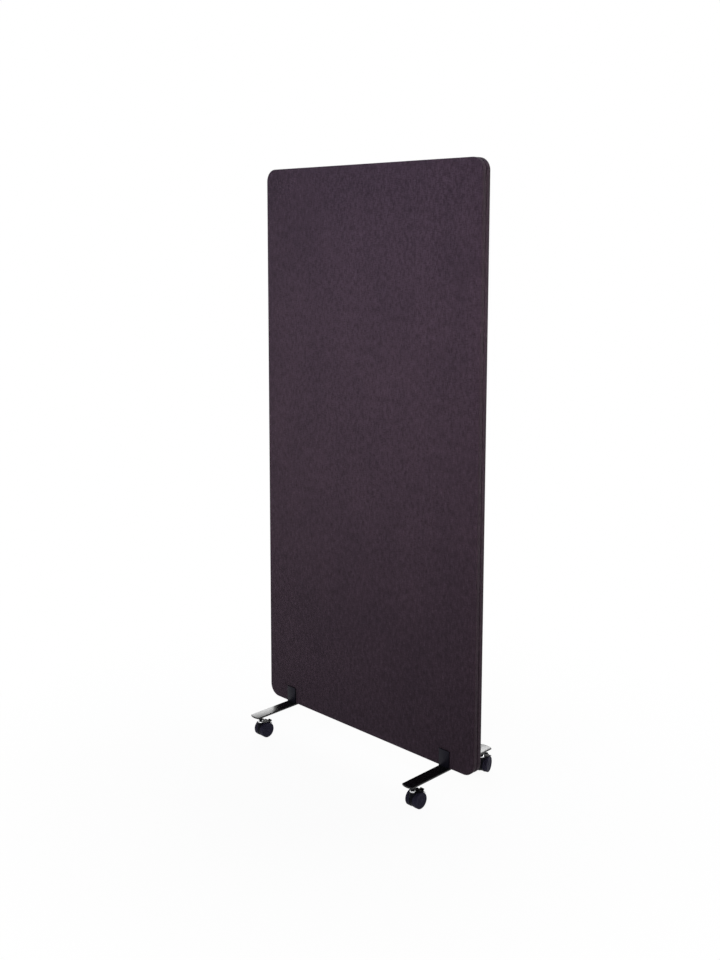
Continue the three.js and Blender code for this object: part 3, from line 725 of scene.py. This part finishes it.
for foot, side in (("left", -1), ("right", 1)):
    foot_bar(f"{foot}_bar", side)
    clamp_tab(f"{foot}_clamp_front", side, False)
    clamp_tab(f"{foot}_clamp_rear", side, True)
    for number, x in ((1, -SCREW_SPREAD), (2, SCREW_SPREAD)):
        foot_screw(f"{foot}_screw_{number}", side, x, f"{foot}_foot_screw_{number}")


# ---- Casters, each drawn in its own frame with the stem's axis on Z -------------------------------
WEB_HALF = 0.0052
WEB_RADIUS = 0.0236
HOOD_HALF = 0.0215
HOOD_RADIUS = 0.0275
HOOD_LIP = math.radians(40)
HOOD_FRONT = math.radians(12)
HOOD_LIP_DEPTH = 0.004
HOOD_LIP_ROUND = 0.0009
SHOULDER_Y = 0.013
SHOULDER_DROP = 0.005
NOSE_ANGLE = math.radians(20)
NOSE_FLARE_X = 0.006
NOSE_FLARE_Y = 0.0045
NOSE_RADIUS = 0.0105
NOSE_BOTTOM = 0.034
NOSE_TOP = 0.0505
NOSE_ROUND = 0.001
SOCKET_RADIUS = 0.004
SOCKET_FLOOR = 0.0367
AXLE_HOLE_RADIUS = 0.0043
EAR_RADIUS = 0.0025
EAR_OUTER_X = 0.013
PIN_RADIUS = 0.0012
SLOT_HALF = 0.0098

WHEEL_GAP = 0.0008
WHEEL_INNER, WHEEL_OUTER = 0.006, 0.0215
WHEEL_BORE, WHEEL_HUB = 0.0042, 0.0075
WHEEL_WALL = 0.0035
DISC_RECESS = 0.0014
RIM_LAND = 0.0022

PEDAL_HUB_RADIUS = 0.0022
LOBE_RADIUS = 0.0027
LOBE_ANGLE = math.radians(-96)
PLATE_HALF = 0.007

COLLAR_RADIUS = 0.0085
COLLAR_BORE = 0.0040
COLLAR_BOTTOM = NOSE_TOP + SEAT_GAP
COLLAR_TOP = COLLAR_BOTTOM + 0.0047
STEM_BOTTOM = 0.037
JOURNAL_RADIUS = 0.0037
SHANK_RADIUS = 0.0055
SHANK_BOTTOM = COLLAR_TOP + SEAT_GAP
THREAD_RADIUS, THREAD_ROOT = 0.0039, 0.0034
THREAD_PITCH = 0.0010
THREAD_TOP = BAR_TOP - 0.0020
NUT_BOTTOM = BAR_BOTTOM - 0.0065
NUT_FLATS = 0.013
NUT_BORE = 0.0042


def about_axle(radius, angle):
    return (TRAIL + radius * math.sin(angle), AXLE_HEIGHT + radius * math.cos(angle))


def rod(radius, half, y, z, sides):
    """Cylinder along X."""
    made = loose(cylinder(radius, -half, half, sides))
    made.data.transform(Matrix.Translation((0, y, z)) @ Matrix.Rotation(math.pi / 2, 4, "Y"))
    return made


def hood_side():
    """Side view (y, z): the nose about the stem and the arc over the wheels to the rear lip."""
    turn = HOOD_LIP_ROUND / HOOD_RADIUS
    low_lip = about_axle(HOOD_RADIUS - HOOD_LIP_ROUND, HOOD_LIP)
    high_lip = about_axle(HOOD_RADIUS, HOOD_LIP - turn)
    points = [(NOSE_ROUND - NOSE_RADIUS, NOSE_BOTTOM), (0, NOSE_BOTTOM), (TRAIL, AXLE_HEIGHT)]
    points.append(about_axle(HOOD_RADIUS - HOOD_LIP_DEPTH, HOOD_LIP))
    points.append(low_lip)
    points += curve(low_lip, about_axle(HOOD_RADIUS, HOOD_LIP), high_lip, 4)
    start, end = math.pi / 2 - HOOD_LIP + turn, math.pi / 2 + HOOD_FRONT
    points += arc(TRAIL, AXLE_HEIGHT, HOOD_RADIUS, start, end, 26)[1:]
    points.append((COLLAR_RADIUS + SEAT_GAP, NOSE_TOP))
    points.append((NOSE_ROUND - NOSE_RADIUS, NOSE_TOP))
    points += curve(points[-1], (-NOSE_RADIUS, NOSE_TOP), (-NOSE_RADIUS, NOSE_TOP - NOSE_ROUND), 4)
    points.append((-NOSE_RADIUS, NOSE_BOTTOM + NOSE_ROUND))
    return points


def hood_plan():
    """From above (x, y): a round nose about the stem that widens to the full width."""
    far = 2 * HOOD_RADIUS
    flare_x = NOSE_RADIUS * math.cos(NOSE_ANGLE) + NOSE_FLARE_X
    flare_y = NOSE_RADIUS * math.sin(NOSE_ANGLE) + NOSE_FLARE_Y
    side_y = SHOULDER_Y + 0.004
    points = [(HOOD_HALF, far), (-HOOD_HALF, far), (-HOOD_HALF, side_y)]
    points += curve((-HOOD_HALF, side_y), (-HOOD_HALF, SHOULDER_Y), (-flare_x, flare_y), 12)
    points += arc(0, 0, NOSE_RADIUS, math.pi - NOSE_ANGLE, 2 * math.pi + NOSE_ANGLE, 36)
    points.append((flare_x, flare_y))
    points += curve((flare_x, flare_y), (HOOD_HALF, SHOULDER_Y), (HOOD_HALF, side_y), 12)
    return points


def hood_front():
    """From the front (x, z): full width over the treads, with rounded shoulders."""
    low, top = NOSE_BOTTOM - HOOD_LIP_DEPTH, AXLE_HEIGHT + HOOD_RADIUS + 0.001
    side_top = top - SHOULDER_DROP
    flat = HOOD_HALF + 0.001 - SHOULDER_DROP
    points = [(-HOOD_HALF, low), (HOOD_HALF, low), (HOOD_HALF, side_top)]
    points += curve((HOOD_HALF, side_top), (HOOD_HALF, top - 0.001), (flat, top), 10)
    points.append((-flat, top))
    points += curve((-flat, top), (-HOOD_HALF, top - 0.001), (-HOOD_HALF, side_top), 10)
    return points


def hood_mesh():
    """Housing: three views intersected, then ears, wheel rooms, web, stem socket, slot and bores."""
    hood = loose(prism(hood_side(), -HOOD_HALF, HOOD_HALF, "x"))
    boolean(hood, loose(prism(hood_plan(), 0.020, 0.068, "z")), "INTERSECT")
    boolean(hood, loose(prism(hood_front(), -0.021, 0.055, "y")), "INTERSECT")
    boolean(hood, rod(EAR_RADIUS, EAR_OUTER_X, PIVOT_Y, PIVOT_Z, 40), "UNION")
    room_half = (HOOD_HALF + 0.002 - WEB_HALF) / 2
    for side_x in (-1, 1):
        room = rod(WHEEL_RADIUS + WHEEL_GAP, room_half, TRAIL, AXLE_HEIGHT, 96)
        room.data.transform(Matrix.Translation((side_x * (WEB_HALF + room_half), 0, 0)))
        boolean(hood, room, "DIFFERENCE")
    boolean(hood, rod(WEB_RADIUS, WEB_HALF, TRAIL, AXLE_HEIGHT, 96), "UNION")
    boolean(hood, loose(cylinder(SOCKET_RADIUS, SOCKET_FLOOR, NOSE_TOP + 0.001, 40)), "DIFFERENCE")
    y0, z0 = PIVOT_Y - EAR_RADIUS - 0.0006, PIVOT_Z - 0.006
    y1, z1 = y0 + 0.02, z0 + 0.02
    slot = prism([(y0, z0), (y1, z0), (y1, z1), (y0, z1)], -SLOT_HALF, SLOT_HALF, "x")
    boolean(hood, loose(slot), "DIFFERENCE")
    boolean(hood, rod(AXLE_HOLE_RADIUS, 2 * WEB_HALF, TRAIL, AXLE_HEIGHT, 40), "DIFFERENCE")
    pin_hole = rod(PIN_RADIUS + 0.0003, EAR_OUTER_X + 0.001, PIVOT_Y, PIVOT_Z, 20)
    boolean(hood, pin_hole, "DIFFERENCE")
    bevelled(hood, 0.00028, 2, 38)
    return mesh_of(hood)


def wheel_mesh():
    """Right wheel, with a round tread inscribed in the solid's 24-sided one."""
    inner, outer = WHEEL_INNER, WHEEL_OUTER
    disc = outer - DISC_RECESS
    cup = outer - 0.005
    r = AXLE_HEIGHT
    rim, wall = r - RIM_LAND, r - WHEEL_WALL
    # Bore, hub and the hollow behind the disc.
    profile = [(0, outer - 0.004), (WHEEL_BORE, outer - 0.004), (WHEEL_BORE, inner - 0.0004)]
    profile += [(WHEEL_HUB, inner - 0.0004), (WHEEL_HUB, cup), (wall, cup), (wall, inner)]
    # Tread with a moulded parting line.
    profile += [(r - 0.0003, inner), (r, inner + 0.0003)]
    profile += [(r, inner + 0.0046), (r - 0.00012, inner + 0.0049), (r, inner + 0.0052)]
    # Rounded rim.
    profile += [(r, outer - RIM_LAND), (r - 0.00015, outer - 0.0015), (r - 0.0007, outer - 0.0007)]
    profile += [(r - 0.0014, outer - 0.0002), (rim, outer), (rim - 0.0002, outer - 0.0002)]
    # Recessed disc with its raised ring.
    profile += [(rim - 0.0008, disc + 0.0001), (rim - 0.0011, disc)]
    profile += [(0.0122, disc), (0.0119, disc + 0.0004), (0.0109, disc + 0.0004), (0.0106, disc)]
    # Hub cap.
    profile += [(0.0064, disc), (0.0062, disc + 0.0004), (0.0054, disc + 0.0007)]
    profile += [(0.0035, disc + 0.0009), (0.0015, disc + 0.001), (0, disc + 0.001)]
    bm = lathe(profile, 120)
    turn = Matrix.Translation((0, TRAIL, AXLE_HEIGHT)) @ Matrix.Rotation(math.pi / 2, 4, "Y")
    bmesh.ops.transform(bm, matrix=turn, verts=bm.verts)
    return mesh_of(loose(bm))


def pedal_mesh():
    """Brake pedal: hub with the braking lobe, arm, and plate with three ribs."""
    def at(y, z):
        """A point in millimetres from the pivot."""
        return (PIVOT_Y + y * MM, PIVOT_Z + z * MM)

    hub_half, rib_half = SLOT_HALF - 0.0005, PLATE_HALF - 0.001
    lobe, full = LOBE_ANGLE, 2 * math.pi
    hub = arc(PIVOT_Y, PIVOT_Z, PEDAL_HUB_RADIUS, lobe + 0.7, lobe - 0.7 + full, 30)
    hub += arc(PIVOT_Y, PIVOT_Z, LOBE_RADIUS, lobe - 0.3, lobe + 0.3, 3)
    pedal = loose(prism(hub, -hub_half, hub_half, "x"))
    arm = [at(0, -2), at(5.2, -3.1), at(7, -2), at(6.2, -0.6), at(0.8, 2)]
    boolean(pedal, loose(prism(arm, -WEB_HALF, WEB_HALF, "x")), "UNION")
    plate = [at(4.6, -2.5), at(6.4, -3.2), at(10.9, -0.8), at(10.8, 1.5), at(8.7, 1.6)]
    boolean(pedal, loose(prism(plate, -PLATE_HALF, PLATE_HALF, "x")), "UNION")
    for k in range(3):
        t = 0.25 + 0.25 * k
        y = 4.6 + (8.7 - 4.6) * t
        z = -2.5 + (1.3 + 2.5) * t
        rib = [at(y - 0.35, z + 0.1), at(y - 0.05, z - 0.4), at(y + 0.4, z + 0.1)]
        rib += [at(y + 0.1, z + 0.55), at(y - 0.25, z + 0.5)]
        boolean(pedal, loose(prism(rib, -rib_half, rib_half, "x")), "UNION")
    boolean(pedal, rod(PIN_RADIUS + 0.0002, SLOT_HALF, PIVOT_Y, PIVOT_Z, 20), "DIFFERENCE")
    bevelled(pedal, 0.0003, 2, 35)
    return mesh_of(pedal)


def stem_mesh():
    """Stem: journal, shank with a turned groove, and thread."""
    r, low = SHANK_RADIUS, SHANK_BOTTOM
    root = r - 0.0005
    profile = [(0, STEM_BOTTOM), (JOURNAL_RADIUS - 0.0008, STEM_BOTTOM)]
    profile += [(JOURNAL_RADIUS, STEM_BOTTOM + 0.0008), (JOURNAL_RADIUS, low)]
    profile += [(r - 0.0004, low), (r, low + 0.0004), (r, low + 0.0030)]
    profile += [(root, low + 0.0034), (root, low + 0.0042), (r, low + 0.0046)]
    profile += [(r, NUT_BOTTOM - 0.0008), (root, NUT_BOTTOM - 0.0003)]
    profile.append((THREAD_RADIUS, NUT_BOTTOM - 0.0003))
    z = NUT_BOTTOM
    while z < THREAD_TOP - THREAD_PITCH:
        profile += [(THREAD_RADIUS, z), (THREAD_ROOT, z + THREAD_PITCH / 2)]
        z += THREAD_PITCH
    profile += [(0.0036, THREAD_TOP), (0.0032, THREAD_TOP + 0.0007), (0, THREAD_TOP + 0.0007)]
    return lathe(profile, 48)


def collar_mesh():
    """Turned collar with a rounded shoulder and a sunk top."""
    r, low, top = COLLAR_RADIUS, COLLAR_BOTTOM, COLLAR_TOP
    profile = [(COLLAR_BORE, low), (r - 0.0006, low), (r - 0.00018, low + 0.0002)]
    profile += [(r, low + 0.0007), (r, top - 0.0019), (r - 0.0003, top - 0.0011)]
    profile += [(r - 0.0009, top - 0.0004), (r - 0.0017, top), (0.0062, top)]
    profile += [(0.0060, top - 0.0003), (COLLAR_BORE, top - 0.0003)]
    return lathe(profile, 64, closed=True)


def nut_mesh():
    """Hexagon nut whose corners are turned off at both ends."""
    corner, half = NUT_FLATS / math.sqrt(3), NUT_FLATS / 2
    nut = loose(prism(hexagon(corner), NUT_BOTTOM - 0.001, BAR_BOTTOM + 0.001, "z"))
    turned = [(NUT_BORE, NUT_BOTTOM), (half, NUT_BOTTOM), (corner, NUT_BOTTOM + 0.0006)]
    turned += [(corner, BAR_BOTTOM - 0.0006), (half, BAR_BOTTOM), (NUT_BORE, BAR_BOTTOM)]
    boolean(nut, loose(lathe(turned, 72, closed=True)), "INTERSECT")
    return mesh_of(nut)


HOOD_MESH = hood_mesh()
WHEEL_MESH = wheel_mesh()
PEDAL_MESH = pedal_mesh()
NUT_MESH = nut_mesh()


def shared(name, data, look, body, place, node, smooth_angle=32, mirror=False):
    """A piece with its own copy of a mesh that the casters have in common."""
    copy = data.copy()
    if mirror:
        copy.transform(Matrix.Scale(-1, 4, (1, 0, 0)))
        copy.flip_normals()
    made = dress(linked(name, copy), name, look, body, place, smooth_angle)
    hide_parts(node)


def caster(name, side, end, heading):
    """The stem, its collar and its nut stay with the bar, and the rest swivels with the housing."""
    stand = Matrix.Translation((side * FOOT_X, end * STEM_Y, 0))
    turned = stand @ Matrix.Rotation(math.radians(heading), 4, "Z")
    swivel = f"{name}_caster"
    shared(f"{name}_hood", HOOD_MESH, HOOD_LOOK, swivel, turned, f"{name}_housing")
    for hand in ("left", "right"):
        shared(
            f"{name}_twin_{hand}", WHEEL_MESH, WHEEL_LOOK, f"{name}_{hand}_wheel",
            turned, f"{name}_wheel_{hand}", smooth_angle=28, mirror=hand == "left",
        )
    shared(
        f"{name}_brake_lever", PEDAL_MESH, PEDAL_LOOK, f"{name}_pedal",
        turned, f"{name}_brake_pedal",
    )
    shared(
        f"{name}_nut", NUT_MESH, BLACK_STEEL_LOOK, "frame",
        stand, f"{name}_lock_nut",
    )
    shank = loose(stem_mesh())
    stem = dress(shank, f"{name}_shank", BLACK_STEEL_LOOK, "frame", stand, 40)
    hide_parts(f"{name}_stem")
    collar = dress(loose(collar_mesh()), f"{name}_ring", ZINC_LOOK, "frame", stand, 40)
    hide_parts(f"{name}_stem_collar")


for place in CASTERS:
    caster(*place)


# ---- Solids that stay -----------------------------------------------------------------------------
KEPT_LOOKS = {
    "_board": BOARD_LOOK,
    "core_sheet": CORE_LOOK,
    "_axle": ZINC_LOOK,
    "_pedal_pin": ZINC_LOOK,
}
for node, made in NODES.items():
    for ending, look in KEPT_LOOKS.items():
        if node.endswith(ending) and not made.hide_render:
            made.data.materials.clear()
            made.data.materials.append(look)


# ---- Studio ---------------------------------------------------------------------------------------
FLOOR_HALF = 30
WORLD_LIGHT = 0.35
# Share of plain white in the floor as it is seen: less near the object, where its shadow shows.
NEAR_WHITE, NEAR_REACH = 0.95, 0.5
FAR_WHITE, FAR_REACH = 1.0, 1.4
# Name, place, target, width, height, watts, spread in degrees and colour.
LAMPS = [
    ("key", (3.2, -4.4, 3.2), (0, 0, 1.37), 2.2, 1.4, 18, 27, (1.0, 0.98, 0.98)),
    ("top", (0.3, -1.9, 3.5), (0, 0, 1.75), 1.2, 0.8, 4.3, 60, (0.32, 0.5, 1.0)),
    ("back", (-4.0, 4.0, 2.6), (0, 0, 0.1), 4.2, 2.2, 172, 180, (1, 1, 1)),
    ("rear_fill", (1.6, 4.6, 2.4), (0, 0, 1.0), 2.4, 1.6, 80, 180, (1, 1, 1)),
]


def seen_share(tree):
    """1 for rays from the camera and for those that gloss or glass sends on, and otherwise 0."""
    rays = tree.nodes.new("ShaderNodeLightPath")
    share = rays.outputs["Is Camera Ray"]
    for kind in ("Is Glossy Ray", "Is Transmission Ray"):
        larger = tree.nodes.new("ShaderNodeMath")
        larger.operation = "MAXIMUM"
        tree.links.new(share, larger.inputs[0])
        tree.links.new(rays.outputs[kind], larger.inputs[1])
        share = larger.outputs[0]
    return share


def mix_surfaces(tree, share, first, second, output):
    mix = tree.nodes.new("ShaderNodeMixShader")
    tree.links.new(share, mix.inputs["Fac"])
    tree.links.new(first, mix.inputs[1])
    tree.links.new(second, mix.inputs[2])
    tree.links.new(mix.outputs["Shader"], output.inputs["Surface"])


def studio_floor():
    """Pale floor that is seen as white and still takes the object's shadow."""
    corners = [(x * FLOOR_HALF, y * FLOOR_HALF, 0) for x, y in ((-1, -1), (1, -1), (1, 1), (-1, 1))]
    data = bpy.data.meshes.new("studio_floor")
    data.from_pydata(corners, [], [(0, 1, 2, 3)])
    floor = linked("studio_floor", data)
    s = Shader("studio_floor")
    s.set("Base Color", (0.93, 0.93, 0.93, 1))
    s.set("Roughness", 0.9)
    s.set("Specular IOR Level", 0.0)
    glow = s.add("ShaderNodeEmission")
    glow.inputs["Strength"].default_value = 1.0
    distance = s.add("ShaderNodeVectorMath")
    distance.operation = "LENGTH"
    s.link(s.point, distance.inputs[0])
    white = s.add("ShaderNodeMapRange")
    white.inputs["From Min"].default_value = NEAR_REACH
    white.inputs["From Max"].default_value = FAR_REACH
    white.inputs["To Min"].default_value = NEAR_WHITE
    white.inputs["To Max"].default_value = FAR_WHITE
    s.link(distance.outputs["Value"], white.inputs["Value"])
    share = s.math("MULTIPLY", seen_share(s.tree), white.outputs["Result"])
    mix_surfaces(s.tree, share, s.surface.outputs["BSDF"], glow.outputs["Emission"], s.output)
    data.materials.append(s.material)


def studio_world():
    """White as it is seen, and an even, weaker light on the object."""
    world = bpy.data.worlds.new("studio")
    bpy.context.scene.world = world
    world.use_nodes = True
    tree = world.node_tree
    tree.nodes.clear()
    surfaces = []
    for strength in (WORLD_LIGHT, 1.0):
        background = tree.nodes.new("ShaderNodeBackground")
        background.inputs["Color"].default_value = (1, 1, 1, 1)
        background.inputs["Strength"].default_value = strength
        surfaces.append(background.outputs["Background"])
    mix_surfaces(tree, seen_share(tree), *surfaces, tree.nodes.new("ShaderNodeOutputWorld"))


def softbox(name, location, target, width, height, power, spread, colour):
    data = bpy.data.lights.new(name, "AREA")
    data.shape = "RECTANGLE"
    data.size = width
    data.size_y = height
    data.energy = power
    data.spread = math.radians(spread)
    data.color = colour
    lamp = linked(name, data)
    lamp.location = location
    aim = Vector(target) - Vector(location)
    lamp.rotation_euler = aim.to_track_quat("-Z", "Y").to_euler()
    lamp.visible_camera = False


studio_floor()
studio_world()
for lamp in LAMPS:
    softbox(*lamp)
